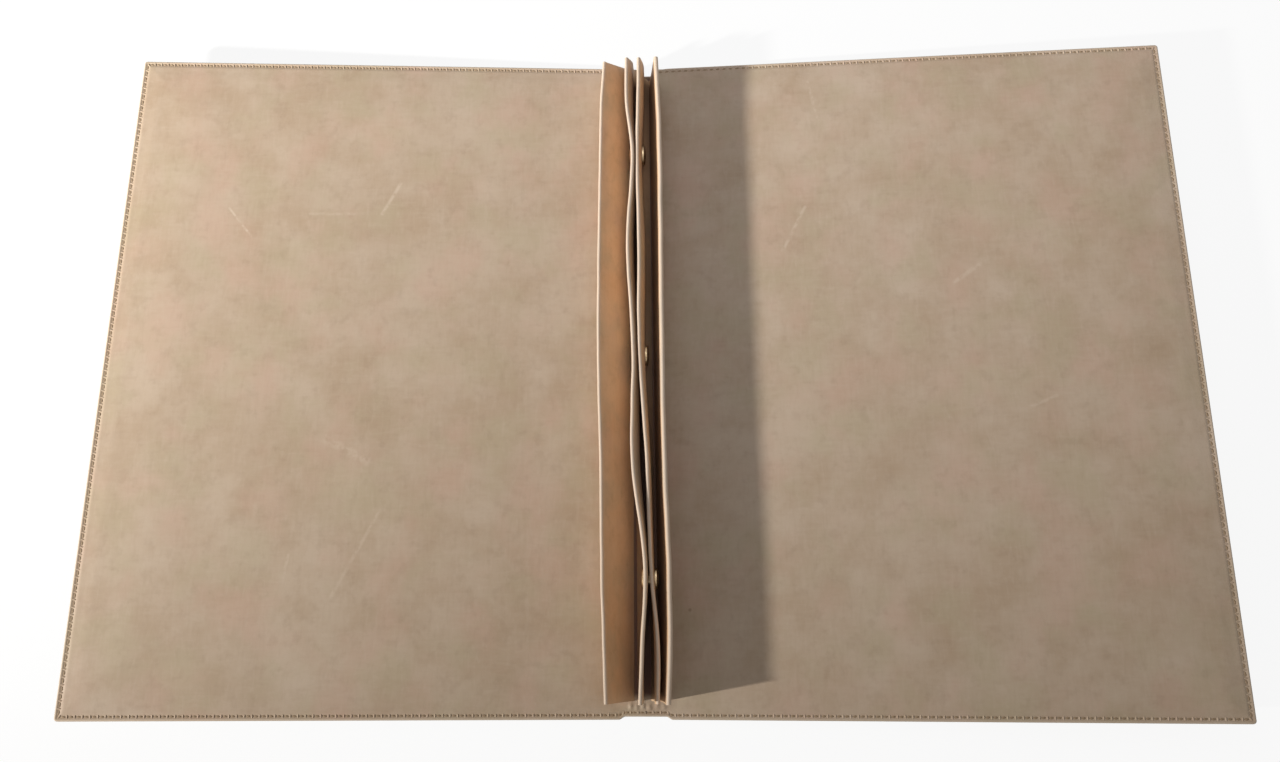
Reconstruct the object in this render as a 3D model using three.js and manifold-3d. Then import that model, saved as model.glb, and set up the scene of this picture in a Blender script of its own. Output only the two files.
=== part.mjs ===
// Casemade menu cover, lying open with its inside up.
// Millimetres: X runs across the open cover, Y from the near edge to the far edge, Z up.
// The origin is the middle of the spine on the surface that the cover lies on.
import * as THREE from 'three';
import { mergeVertices } from 'three/addons/utils/BufferGeometryUtils.js';
import Module from 'manifold-3d';

const wasm = await Module();
wasm.setup();

// Outline of the open cover
const coverHeight = 321;
const panelWidth = 243.5;
const panelSpacing = 26.3;
const cornerRadius = 1.5;
const squareCornerRadius = 0.2;
const restTilt = THREE.MathUtils.degToRad(3.33);

// Sheets and boards
const wrapThickness = 0.8;
const liningThickness = 0.8;
const panelBoardThickness = 1.8;
const spineBoardThickness = 1.2;
const spineBoardWidth = 15.8;
const glueGap = 0.3;
const seamMargin = 4;
const shoulderRun = 0.8;
const hingeSpacing = 22.8;

// Edge stitching
const stitchInset = 2.2;
const threadWidth = 0.6;
const threadHeight = 0.3;
const threadGap = 0.1;

// Standing strips of folded leatherette
const leafThickness = 1.7;
const wideLeafThickness = 2.1;
const leafWidth = 22.3;
const leafEndInset = 8;
const pageSlot = 1.0;

// Binding posts
const postPitch = 103;
const postRowCentre = 3;
const postHeight = 9;
const headDiameter = 9.5;
const headThickness = 1.8;
const headChamfer = 0.5;
const barrelDiameter = 5;
const shankDiameter = 3;
const shankClearance = 0.3;
const holeClearance = 0.3;
const headGap = 0.3;
const slotWidth = 1;
const slotDepth = 0.5;

// Fineness of the facets
const cornerSteps = 4;
const roundSides = 24;
const leafSteps = 40;
const bodySides = 16;

// Finishes
const linedSurface = { color: 0xa68e7c, roughness: 0.55, metalness: 0 };
const outerSurface = { color: 0x9c8470, roughness: 0.55, metalness: 0 };
const stripSurface = { color: 0xab8865, roughness: 0.5, metalness: 0 };
const boardSurface = { color: 0x8f8778, roughness: 0.9, metalness: 0 };
const threadSurface = { color: 0x9a7f68, roughness: 0.8, metalness: 0 };
const brassSurface = { color: 0xc9a65a, roughness: 0.3, metalness: 1 };

// Heights and half widths that follow from the sizes above
const seamThickness = wrapThickness + glueGap + liningThickness;
const panelThickness = seamThickness + panelBoardThickness + glueGap;
const spineThickness = seamThickness + spineBoardThickness + glueGap;
const halfHeight = coverHeight / 2;
const hingeX = hingeSpacing / 2;
const hingeZ = seamThickness / 2;
const beadRadius = seamThickness / 2;
const hingeRelief = beadRadius + glueGap;
const panelInner = panelSpacing / 2 - hingeX;
const panelOuter = panelInner + panelWidth;
const boardCover = liningThickness + glueGap;

// A rounded rectangle at one height, anticlockwise from above, with its own radius at the low X corners
function ring({ x0, x1, y0, y1, z, radius, lowRadius = radius }) {
  const corners = [
    [x1 - radius, y1 - radius, radius, 0],
    [x0 + lowRadius, y1 - lowRadius, lowRadius, Math.PI / 2],
    [x0 + lowRadius, y0 + lowRadius, lowRadius, Math.PI],
    [x1 - radius, y0 + radius, radius, 1.5 * Math.PI],
  ];
  const points = [];
  for (const [cx, cy, r, start] of corners) {
    for (let i = 0; i <= cornerSteps; i++) {
      const angle = start + (i / cornerSteps) * (Math.PI / 2);
      points.push(new THREE.Vector3(cx + r * Math.cos(angle), cy + r * Math.sin(angle), z));
    }
  }
  return points;
}

// A closed body through rings of equal length, first ring lowest, capped by a fan at each end
function loft(rings) {
  const count = rings[0].length;
  const middle = (points) =>
    points.reduce((sum, p) => sum.add(p), new THREE.Vector3()).divideScalar(points.length);
  const vertices = rings.flat();
  const indices = [];
  for (let row = 0; row < rings.length - 1; row++) {
    for (let i = 0; i < count; i++) {
      const a = row * count + i;
      const b = row * count + ((i + 1) % count);
      indices.push(a, b, b + count, a, b + count, a + count);
    }
  }
  const firstMiddle = vertices.push(middle(rings[0])) - 1;
  const lastMiddle = vertices.push(middle(rings[rings.length - 1])) - 1;
  const lastRow = (rings.length - 1) * count;
  for (let i = 0; i < count; i++) {
    const next = (i + 1) % count;
    indices.push(firstMiddle, next, i);
    indices.push(lastMiddle, lastRow + i, lastRow + next);
  }
  const geometry = new THREE.BufferGeometry().setFromPoints(vertices);
  geometry.setIndex(indices);
  return geometry;
}

// The same body on the other side of the spine
function mirrored(geometry) {
  const copy = geometry.clone().scale(-1, 1, 1);
  const index = copy.getIndex();
  for (let i = 0; i < index.count; i += 3) {
    const second = index.getX(i + 1);
    index.setX(i + 1, index.getX(i + 2));
    index.setX(i + 2, second);
  }
  return copy;
}

// Closed mesh to solid and back, for joins and cuts
function solidOf(geometry) {
  const bare = geometry.clone();
  bare.deleteAttribute('normal');
  bare.deleteAttribute('uv');
  const merged = mergeVertices(bare, 1e-4);
  const index = merged.getIndex().array;
  const triangles = [];
  for (let i = 0; i < index.length; i += 3) {
    const [a, b, c] = [index[i], index[i + 1], index[i + 2]];
    if (a !== b && b !== c && c !== a) triangles.push(a, b, c);
  }
  const vertProperties = new Float32Array(merged.getAttribute('position').array);
  return new wasm.Manifold(new wasm.Mesh({ numProp: 3, vertProperties, triVerts: new Uint32Array(triangles) }));
}

function geometryOf(solid) {
  const mesh = solid.getMesh();
  const geometry = new THREE.BufferGeometry();
  geometry.setAttribute('position', new THREE.BufferAttribute(new Float32Array(mesh.vertProperties), 3));
  geometry.setIndex(Array.from(mesh.triVerts));
  return geometry;
}

function part(name, geometry, surface) {
  const mesh = new THREE.Mesh(geometry, new THREE.MeshStandardMaterial(surface));
  mesh.name = name;
  return mesh;
}

// A sheet glued down round its margin and draped over a board
function drapedSheet({ outer, foot, seamTop, crown, lowRadius }) {
  const underside = seamTop - liningThickness;
  const inset = (box, by) => ({ x0: box.x0 + by, x1: box.x1 - by, y0: box.y0 + by, y1: box.y1 - by });
  const cavity = inset(foot, liningThickness);
  const shoulder = inset(foot, shoulderRun);
  const at = (box, z) => ring({ ...box, z, radius: cornerRadius, lowRadius });
  return loft([
    at(cavity, crown - liningThickness),
    at(cavity, underside),
    at(outer, underside),
    at(outer, seamTop),
    at(foot, seamTop),
    at(shoulder, crown),
  ]);
}

// Panel pieces, drawn for the back cover with X outward from its hinge line and Z from the hinge's height
function panelWrap() {
  const plan = { x0: 0, x1: panelOuter, y0: -halfHeight, y1: halfHeight };
  const corners = { radius: cornerRadius, lowRadius: squareCornerRadius };
  const sheet = loft([
    ring({ ...plan, ...corners, z: -hingeZ }),
    ring({ ...plan, ...corners, z: wrapThickness - hingeZ }),
  ]);
  const bead = new THREE.CylinderGeometry(beadRadius, beadRadius, coverHeight, bodySides);
  return geometryOf(solidOf(sheet).add(solidOf(bead)));
}

function panelBoard() {
  const bottom = wrapThickness + glueGap - hingeZ;
  const plan = {
    x0: panelInner + boardCover,
    x1: panelOuter - seamMargin - boardCover,
    y0: -halfHeight + seamMargin + boardCover,
    y1: halfHeight - seamMargin - boardCover,
    radius: cornerRadius,
  };
  return loft([ring({ ...plan, z: bottom }), ring({ ...plan, z: bottom + panelBoardThickness })]);
}

function panelLining() {
  return drapedSheet({
    outer: { x0: hingeRelief, x1: panelOuter, y0: -halfHeight, y1: halfHeight },
    foot: {
      x0: panelInner,
      x1: panelOuter - seamMargin,
      y0: -halfHeight + seamMargin,
      y1: halfHeight - seamMargin,
    },
    seamTop: seamThickness - hingeZ,
    crown: panelThickness - hingeZ,
    lowRadius: squareCornerRadius,
  });
}

// Thread along the three free edges of a panel, as one low rail
function panelThread() {
  const outline = new THREE.Shape();
  const edges = [stitchInset - threadWidth / 2, stitchInset + threadWidth / 2];
  const [near, far] = edges.map((edge) => ({ x: panelOuter - edge, y: halfHeight - edge }));
  const bend = cornerRadius;
  outline.moveTo(hingeRelief, -near.y);
  outline.lineTo(near.x - bend, -near.y);
  outline.absarc(near.x - bend, -near.y + bend, bend, -Math.PI / 2, 0, false);
  outline.lineTo(near.x, near.y - bend);
  outline.absarc(near.x - bend, near.y - bend, bend, 0, Math.PI / 2, false);
  outline.lineTo(hingeRelief, near.y);
  outline.lineTo(hingeRelief, far.y);
  outline.lineTo(far.x - bend, far.y);
  outline.absarc(far.x - bend, far.y - bend, bend, Math.PI / 2, 0, true);
  outline.lineTo(far.x, -far.y + bend);
  outline.absarc(far.x - bend, -far.y + bend, bend, 0, -Math.PI / 2, true);
  outline.lineTo(hingeRelief, -far.y);
  const rail = new THREE.ExtrudeGeometry(outline, {
    depth: threadHeight,
    bevelEnabled: false,
    curveSegments: cornerSteps,
  });
  rail.translate(0, 0, seamThickness - hingeZ + threadGap);
  return geometryOf(solidOf(rail));
}

function addPanel(group, name, side) {
  const face = (geometry) => (side > 0 ? geometry : mirrored(geometry));
  group.position.set(side * hingeX, 0, hingeZ);
  group.rotation.y = -side * restTilt;
  group.add(part(`${name}_outer_wrap`, face(panelWrap()), outerSurface));
  group.add(part(`${name}_board`, face(panelBoard()), boardSurface));
  group.add(part(`${name}_lining`, face(panelLining()), linedSurface));
  group.add(part(`${name}_edge_stitching`, face(panelThread()), threadSurface));
}

// Spine pieces, flat on the surface between the two hinge lines
const spineEdge = hingeX - hingeRelief;

function spineWrap() {
  const plan = { x0: -spineEdge, x1: spineEdge, y0: -halfHeight, y1: halfHeight, radius: squareCornerRadius };
  return loft([ring({ ...plan, z: 0 }), ring({ ...plan, z: wrapThickness })]);
}

function spineBoard() {
  const bottom = wrapThickness + glueGap;
  const plan = {
    x0: -spineBoardWidth / 2,
    x1: spineBoardWidth / 2,
    y0: -halfHeight + seamMargin + boardCover,
    y1: halfHeight - seamMargin - boardCover,
    radius: cornerRadius,
  };
  return loft([ring({ ...plan, z: bottom }), ring({ ...plan, z: bottom + spineBoardThickness })]);
}

function spineLining() {
  const footX = spineBoardWidth / 2 + boardCover;
  return drapedSheet({
    outer: { x0: -spineEdge, x1: spineEdge, y0: -halfHeight, y1: halfHeight },
    foot: { x0: -footX, x1: footX, y0: -halfHeight + seamMargin, y1: halfHeight - seamMargin },
    seamTop: seamThickness,
    crown: spineThickness,
    lowRadius: cornerRadius,
  });
}

function spineThread(side) {
  const rail = new THREE.BoxGeometry(2 * (spineEdge - cornerRadius), threadWidth, threadHeight);
  rail.translate(0, side * (halfHeight - stitchInset), seamThickness + threadGap + threadHeight / 2);
  return rail;
}

// Standing strips: stations along Y at both ends, at the posts and halfway between
const leafFoot = spineThickness + glueGap;
const leafEnd = halfHeight - leafEndInset;
const postYs = [-1, 0, 1].map((step) => postRowCentre + step * postPitch);
const postZ = spineThickness + postHeight;
const half = (a, b) => (a + b) / 2;
const stations = [
  -leafEnd,
  half(-leafEnd, postYs[0]),
  postYs[0],
  half(postYs[0], postYs[1]),
  postYs[1],
  half(postYs[1], postYs[2]),
  postYs[2],
  half(postYs[2], leafEnd),
  leafEnd,
];

// Middle of the page slot at the near, middle and far posts, and how far each inner strip stands from it
const slotMiddles = [2.05, -2.0, -3.35];
const slotReach = (pageSlot + leafThickness) / 2;
const clamped = (i, side) => slotMiddles[i] + side * slotReach;

// X of each strip at its foot, its waist and its top edge, one value per station from near to far
const strips = {
  left_screw_flap: {
    thickness: leafThickness,
    foot: [-6.0, -7.4],
    waist: [-11.4, -12.0, -12.6, -13.2, -14.0, -14.3, -14.1, -14.0, -13.4],
    top: [-16.4, -17.5, -18.5, -19.5, -21.2, -21.4, -21.1, -20.9, -19.7],
    lower: [0, 0, 0, 0, 0, 0, 0, 0, 0],
    isClamped: false,
  },
  left_post_strip: {
    thickness: leafThickness,
    foot: [-2.4, -5.2],
    waist: [-1.6, -1.2, clamped(0, -1), -2.9, clamped(1, -1), -6.0, clamped(2, -1), -6.2, -6.4],
    top: [-1.8, -0.9, 0.4, -5.2, -5.0, -7.6, -5.8, -8.4, -8.5],
    lower: [0, 0, 0, 0, 0, 0, 0, 0, 0],
    isClamped: true,
  },
  right_post_strip: {
    thickness: leafThickness,
    foot: [3.6, -0.6],
    waist: [4.9, 4.7, clamped(0, 1), 1.9, clamped(1, 1), -0.5, clamped(2, 1), -1.2, -0.9],
    top: [5.6, 5.5, 3.1, 1.2, -2.1, -2.3, -3.2, -2.8, -2.5],
    lower: [4.0, 3.6, 3.0, 1.6, 0.3, 0, 0, 0, 0],
    isClamped: true,
  },
  right_screw_flap: {
    thickness: wideLeafThickness,
    foot: [6.9, 3.2],
    waist: [8.9, 9.1, 9.0, 7.7, 6.9, 6.5, 5.9, 5.4, 4.7],
    top: [10.1, 11.0, 10.8, 9.1, 8.3, 8.0, 7.7, 7.0, 6.0],
    lower: [0, 0, 0, 0, 0, 0, 0, 0, 0],
    isClamped: false,
  },
};

function rail(values) {
  const curve = new THREE.CubicInterpolant(stations, values, 1, new Float32Array(1));
  return (y) => curve.evaluate(y)[0];
}

// X of a strip's middle at a share of its height, through its foot, waist and top
function bowed(foot, waist, top, waistShare, share) {
  const a = (foot * (share - waistShare) * (share - 1)) / waistShare;
  const b = (waist * share * (share - 1)) / (waistShare * (waistShare - 1));
  const c = (top * share * (share - waistShare)) / (1 - waistShare);
  return a + b + c;
}

function standingStrip({ thickness, foot, waist, top, lower, isClamped }) {
  const waistAt = rail(waist);
  const topAt = rail(top);
  const lowerAt = rail(lower);
  const rise = postZ - leafFoot;
  const grip = headDiameter / 2 + headGap;
  const bowShares = [0, 1 / 6, 1 / 3, 1 / 2, 2 / 3, 5 / 6, 1];
  const sections = [];
  for (let i = 0; i <= leafSteps; i++) {
    const y = THREE.MathUtils.lerp(-leafEnd, leafEnd, i / leafSteps);
    const footX = THREE.MathUtils.lerp(foot[0], foot[1], i / leafSteps);
    const waistX = waistAt(y);
    const topX = topAt(y);
    const width = leafWidth - lowerAt(y);
    const height = Math.sqrt(width ** 2 - (topX - footX) ** 2);
    const spineLine = isClamped
      ? [
          [footX, 0],
          [half(footX, waistX), (rise - grip) / 2],
          [waistX, rise - grip],
          [waistX, rise + grip],
          [THREE.MathUtils.lerp(waistX, topX, 1 / 4), THREE.MathUtils.lerp(rise + grip, height, 1 / 3)],
          [THREE.MathUtils.lerp(waistX, topX, 3 / 5), THREE.MathUtils.lerp(rise + grip, height, 2 / 3)],
          [topX, height],
        ]
      : bowShares.map((share) => [bowed(footX, waistX, topX, rise / height, share), share * height]);
    sections.push(leafSection(spineLine, thickness, y));
  }
  return loft(sections);
}

// The outline of a folded leaf round its middle line, with the folded top edge rounded over
function leafSection(line, thickness, y) {
  const r = thickness / 2;
  const left = line.map(([x, z]) => new THREE.Vector3(x - r, y, leafFoot + z));
  const right = line.map(([x, z]) => new THREE.Vector3(x + r, y, leafFoot + z)).reverse();
  const [topX, topZ] = line[line.length - 1];
  const folds = [0.75, 0.5, 0.25].map((turn) => {
    const angle = turn * Math.PI;
    return new THREE.Vector3(topX + r * Math.cos(angle), y, leafFoot + topZ + r * Math.sin(angle));
  });
  return [...left, ...folds, ...right];
}

// A cylinder along X
function roundBar(diameter, length, x, y) {
  const bar = new THREE.CylinderGeometry(diameter / 2, diameter / 2, length, roundSides);
  return bar.rotateZ(Math.PI / 2).translate(x, y, postZ);
}

function drilled(strip, side) {
  let solid = solidOf(strip);
  slotMiddles.forEach((middle, i) => {
    const hole = roundBar(barrelDiameter + 2 * holeClearance, 3 * leafThickness, middle + side * slotReach, postYs[i]);
    solid = solid.subtract(solidOf(hole));
  });
  return geometryOf(solid);
}

// Posts: a hollow barrel with its head on the left, and a slotted screw from the right
const grip = pageSlot + 2 * leafThickness + 2 * headGap;

function turned(profile, x, y) {
  const points = profile.map(([r, h]) => new THREE.Vector2(r, h));
  const body = new THREE.LatheGeometry(points, roundSides);
  return solidOf(body.rotateZ(-Math.PI / 2).translate(x, y, postZ));
}

function bindingPost(x, y) {
  const head = headDiameter / 2;
  const barrel = barrelDiameter / 2;
  const bore = shankDiameter / 2 + shankClearance;
  const left = -grip / 2;
  const end = grip / 2 - headGap;
  return geometryOf(
    turned(
      [
        [0, left - headThickness],
        [head - headChamfer, left - headThickness],
        [head, left - headThickness + headChamfer],
        [head, left],
        [barrel, left],
        [barrel, end],
        [bore, end],
        [bore, left + headGap],
        [0, left + headGap],
      ],
      x,
      y,
    ),
  );
}

function postScrew(x, y) {
  const head = headDiameter / 2;
  const shank = shankDiameter / 2;
  const right = grip / 2;
  const body = turned(
    [
      [0, -grip / 2 + 2 * headGap],
      [shank, -grip / 2 + 2 * headGap],
      [shank, right],
      [head, right],
      [head, right + headThickness - headChamfer],
      [head - headChamfer, right + headThickness],
      [0, right + headThickness],
    ],
    x,
    y,
  );
  const slot = new THREE.BoxGeometry(2 * slotDepth, headDiameter + headGap, slotWidth);
  slot.translate(x + right + headThickness, y, postZ);
  return geometryOf(body.subtract(solidOf(slot)));
}

const menuCover = new THREE.Group();

const frontCover = new THREE.Group();
addPanel(frontCover, 'front', -1);
menuCover.add(frontCover);

const backCover = new THREE.Group();
addPanel(backCover, 'back', 1);
menuCover.add(backCover);

const spine = new THREE.Group();
spine.add(part('spine_outer_wrap', spineWrap(), outerSurface));
spine.add(part('spine_board', spineBoard(), boardSurface));
spine.add(part('spine_lining', spineLining(), linedSurface));
spine.add(part('near_spine_stitching', spineThread(-1), threadSurface));
spine.add(part('far_spine_stitching', spineThread(1), threadSurface));
for (const [name, strip] of Object.entries(strips)) {
  const leaf = standingStrip(strip);
  const side = name === 'left_post_strip' ? -1 : 1;
  spine.add(part(name, strip.isClamped ? drilled(leaf, side) : leaf, stripSurface));
}
slotMiddles.forEach((middle, i) => {
  spine.add(part(`binding_post_${i + 1}`, bindingPost(middle, postYs[i]), brassSurface));
  spine.add(part(`post_screw_${i + 1}`, postScrew(middle, postYs[i]), brassSurface));
});
menuCover.add(spine);

export default menuCover;
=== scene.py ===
"""Looks of a casemade menu cover that lies open with its inside up.

Sizes in the classes are millimetres: X across the open cover, Y along the spine, Z up. They become metres
when a mesh is made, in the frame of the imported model.
"""

from __future__ import annotations

import logging
import math
from collections.abc import Sequence
from dataclasses import dataclass, field
from enum import Enum

import bpy
import numpy as np
from mathutils import Matrix, Vector, noise

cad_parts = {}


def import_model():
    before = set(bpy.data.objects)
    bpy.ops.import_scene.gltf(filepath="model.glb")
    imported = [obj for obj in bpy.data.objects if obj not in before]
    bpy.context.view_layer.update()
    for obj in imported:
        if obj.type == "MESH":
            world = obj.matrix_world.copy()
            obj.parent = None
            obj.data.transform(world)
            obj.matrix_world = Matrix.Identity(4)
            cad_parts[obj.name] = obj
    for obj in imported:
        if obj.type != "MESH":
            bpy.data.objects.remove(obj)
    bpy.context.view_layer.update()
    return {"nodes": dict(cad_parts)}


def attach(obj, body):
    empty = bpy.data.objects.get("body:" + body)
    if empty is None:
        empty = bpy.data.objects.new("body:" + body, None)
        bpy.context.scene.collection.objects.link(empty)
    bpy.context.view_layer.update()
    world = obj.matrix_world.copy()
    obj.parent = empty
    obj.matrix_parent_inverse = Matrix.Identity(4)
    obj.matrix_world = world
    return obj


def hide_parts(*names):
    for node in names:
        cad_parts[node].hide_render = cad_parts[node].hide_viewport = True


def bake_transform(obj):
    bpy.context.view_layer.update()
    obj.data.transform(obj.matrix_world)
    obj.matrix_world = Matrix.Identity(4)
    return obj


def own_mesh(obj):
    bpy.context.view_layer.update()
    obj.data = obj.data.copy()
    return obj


MM = 0.001
Pair = tuple[float, float]
Triple = tuple[float, float, float]
Colour = tuple[float, float, float, float]
Faces = list[tuple[int, ...]]
log = logging.getLogger("menu_cover")


class Side(Enum):
    """The two covers, by the sign of X on their side of the spine."""

    FRONT = -1
    BACK = 1

    @property
    def body(self) -> str:
        """Name of the moving body on this side."""
        return "front_cover" if self is Side.FRONT else "back_cover"

    @property
    def label(self) -> str:
        """Word that this side's pieces start with."""
        return "front" if self is Side.FRONT else "back"


class Face(Enum):
    """The two faces of the cover that stitches show on."""

    INSIDE = 1
    OUTSIDE = -1


def srgb(red: int, green: int, blue: int) -> Colour:
    """A colour given in screen values, as the shaders take it.

    Args:
        red: Red from 0 to 255.
        green: Green from 0 to 255.
        blue: Blue from 0 to 255.

    Returns:
        The linear colour with full alpha.
    """
    shares = (value / 255 for value in (red, green, blue))
    linear = (s / 12.92 if s <= 0.04045 else ((s + 0.055) / 1.055) ** 2.4 for s in shares)
    return (*linear, 1.0)


def smoothstep(values: np.ndarray | float) -> np.ndarray:
    """A soft step from 0 to 1 over the range 0 to 1.

    Args:
        values: Numbers of any size.

    Returns:
        The eased values, flat outside the range.
    """
    t = np.clip(values, 0.0, 1.0)
    return t * t * (3 - 2 * t)


def graded_line(start: float, stretches: Sequence[Pair]) -> np.ndarray:
    """Numbers that rise from start, with a spacing of their own in each stretch.

    Args:
        start: First number.
        stretches: Pairs of a stretch's end and the widest spacing in it.

    Returns:
        The rising numbers, with each stretch's end among them.
    """
    line = [np.array([start])]
    for end, spacing in stretches:
        last = line[-1][-1]
        count = max(1, math.ceil((end - last) / spacing))
        line.append(np.linspace(last, end, count + 1)[1:])
    return np.concatenate(line)


def unevenness(x: np.ndarray, y: np.ndarray, waves: Triple) -> np.ndarray:
    """Slow noise over a plane; waves holds its size along X and Y, and a number that picks the pattern."""
    return np.array([noise.noise(Vector((a / waves[0], b / waves[1], waves[2]))) for a, b in zip(x, y)])


def add_object(name: str, data: bpy.types.ID) -> bpy.types.Object:
    """Put an object into the scene.

    Args:
        name: Name of the object.
        data: Mesh, lamp or camera that it shows.

    Returns:
        The object.
    """
    made = bpy.data.objects.new(name, data)
    bpy.context.scene.collection.objects.link(made)
    return made


@dataclass(frozen=True)
class HingeBend:
    """The soft gutter beside the spine, in which a cover's leatherette bends.

    The bend turns a point about the hinge line by a share of the angle that grows from start to end.
    """

    line_x: float = 11.4
    line_z: float = 0.95
    start_x: float = 8.6
    end_x: float = 14.4
    rest_tilt_deg: float = 3.33

    def share(self, across: np.ndarray) -> np.ndarray:
        """How far each point follows the cover, from 0 on the spine to 1."""
        return smoothstep((across - self.start_x) / (self.end_x - self.start_x))

    def at_rest(self, points: np.ndarray, side: Side) -> np.ndarray:
        """Points of a flat cover, turned up to the open cover's rest.

        Args:
            points: Rows of distance from the spine's middle, Y and Z.
            side: The cover that they belong to.

        Returns:
            The same points in the row frame, still in millimetres.
        """
        angle = self.share(points[:, 0]) * math.radians(self.rest_tilt_deg)
        across, up = points[:, 0] - self.line_x, points[:, 2] - self.line_z
        turned = points.copy()
        turned[:, 0] = self.line_x + across * np.cos(angle) - up * np.sin(angle)
        turned[:, 2] = self.line_z + across * np.sin(angle) + up * np.cos(angle)
        turned[:, 0] *= side.value
        return turned

    def blend(self, piece: bpy.types.Object, side: Side) -> None:
        """Bake the piece's place into its mesh; the gutter's ends are worked out but not used."""
        start, end = ((side.value * x * MM, 0, self.line_z * MM) for x in (self.start_x, self.end_x))
        side.body
        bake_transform(piece)
        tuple(start)
        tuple(end)


@dataclass
class ClosedBody:
    """Vertices and faces of one closed piece, before it becomes an object."""

    name: str
    points: list[np.ndarray] = field(default_factory=list)
    faces: Faces = field(default_factory=list)
    count: int = 0

    def add(self, points: np.ndarray, faces: Sequence[Sequence[int]]) -> None:
        """Add points with the faces between them.

        Args:
            points: Rows of X, Y and Z in millimetres.
            faces: Corner numbers that count from the first of these points.
        """
        self.points.append(np.asarray(points, float))
        self.faces.extend(tuple(corner + self.count for corner in face) for face in faces)
        self.count += len(points)

    def make(
        self,
        material: bpy.types.Material,
        slot: str,
        sheet: np.ndarray | None = None,
        wear_and_highlight_share: np.ndarray | None = None,
        painted_shade: np.ndarray | None = None,
        sharp_deg: float = 60.0,
    ) -> bpy.types.Object:
        """Make the object.

        Args:
            material: Finish of the whole piece.
            slot: Material slot of the record that the finish belongs to; not used.
            sheet: Where each point lies on the uncut flat sheet, in millimetres; its own place if left out.
            wear_and_highlight_share: How pale each point is painted, from 0 to 1: wear on rims, and a
                painted highlight with wear on the strips' folds.
            painted_shade: How much painted shade each point takes, from 0 to 1.
            sharp_deg: Edges with a wider angle than this stay sharp.

        Returns:
            The object, linked to the scene.
        """
        points = np.concatenate(self.points)
        mesh = bpy.data.meshes.new(self.name)
        mesh.from_pydata((points * MM).tolist(), [], self.faces)
        mesh.validate()
        mesh.update()
        mesh.shade_smooth()
        mesh.set_sharp_from_angle(angle=math.radians(sharp_deg))
        place = mesh.attributes.new("sheet_place", "FLOAT_VECTOR", "POINT")
        place.data.foreach_set("vector", np.asarray(points if sheet is None else sheet, np.float32).ravel())
        for name, values in (("wear_and_highlight", wear_and_highlight_share), ("painted_shade", painted_shade)):
            share = mesh.attributes.new(name, "FLOAT", "POINT")
            share.data.foreach_set("value", np.zeros(len(points)) if values is None else values)
        mesh.materials.append(material)
        piece = add_object(self.name, mesh)
        return piece


def sheet_faces(rows: int, columns: int) -> Faces:
    """Faces of a closed plate whose top grid comes first and its bottom grid after it.

    Args:
        rows: Points along the first direction.
        columns: Points along the second direction.

    Returns:
        Corner numbers of the top, the bottom and the four sides.
    """
    under = rows * columns
    faces = []
    for i in range(rows - 1):
        for j in range(columns - 1):
            a, b = i * columns + j, (i + 1) * columns + j
            faces.append((a, b, b + 1, a + 1))
            faces.append((under + a, under + a + 1, under + b + 1, under + b))
    border = [i * columns for i in range(rows)]
    border += [(rows - 1) * columns + j for j in range(1, columns)]
    border += [i * columns + columns - 1 for i in range(rows - 2, -1, -1)]
    border += list(range(columns - 2, 0, -1))
    for a, b in zip(border, border[1:] + border[:1]):
        faces.append((a, under + a, under + b, b))
    return faces


def ring_faces(rings: int, sides: int, first: int = 0) -> Faces:
    """Faces of the wall between rings of points that follow each other.

    Args:
        rings: How many rings there are.
        sides: Points in each ring.
        first: Number of the first ring's first point.

    Returns:
        Corner numbers, four to a face.
    """
    starts = [first + k * sides for k in range(rings - 1)]
    pairs = [(start + j, start + (j + 1) % sides) for start in starts for j in range(sides)]
    return [(a, b, b + sides, a + sides) for a, b in pairs]


def turned_over(faces: Faces) -> Faces:
    """The same faces with their other side out."""
    return [tuple(reversed(face)) for face in faces]


@dataclass(frozen=True)
class Cloud:
    """A cloudy pattern: its size, how broken it is, and how its shapes are stretched, turned and bent."""

    scale: float
    detail: float = 2.0
    rough: float = 0.5
    stretch: Triple = (1.0, 1.0, 1.0)
    turn_deg: float = 0.0
    wander: float = 0.0


class Wire:
    """One output of a shader, with the usual signs for sums on values."""

    def __init__(self, nodes: ShaderNodes, socket: bpy.types.NodeSocket) -> None:
        """Keep the socket and the tree that it is in."""
        self.nodes = nodes
        self.socket = socket

    def _sum(self, operation: str, first: object, second: object = 0.0) -> Wire:
        """Add one Math node."""
        return self.nodes.node("ShaderNodeMath", {"operation": operation}, {0: first, 1: second})

    def __add__(self, other: Wire | float) -> Wire:
        """Sum."""
        return self._sum("ADD", self, other)

    __radd__ = __add__

    def __mul__(self, other: Wire | float) -> Wire:
        """Product."""
        return self._sum("MULTIPLY", self, other)

    __rmul__ = __mul__

    def __sub__(self, other: Wire | float) -> Wire:
        """Difference."""
        return self._sum("SUBTRACT", self, other)

    def __rsub__(self, other: Wire | float) -> Wire:
        """Difference from a number."""
        return self._sum("SUBTRACT", other, self)

    def larger(self, other: Wire | float) -> Wire:
        """The larger of two values."""
        return self._sum("MAXIMUM", self, other)

    def step(self, low: float, high: float) -> Wire:
        """A soft step from 0 at low to 1 at high; low may be the larger."""
        inputs = {"Value": self, "From Min": low, "From Max": high}
        return self.nodes.node("ShaderNodeMapRange", {"interpolation_type": "SMOOTHSTEP"}, inputs)


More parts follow.
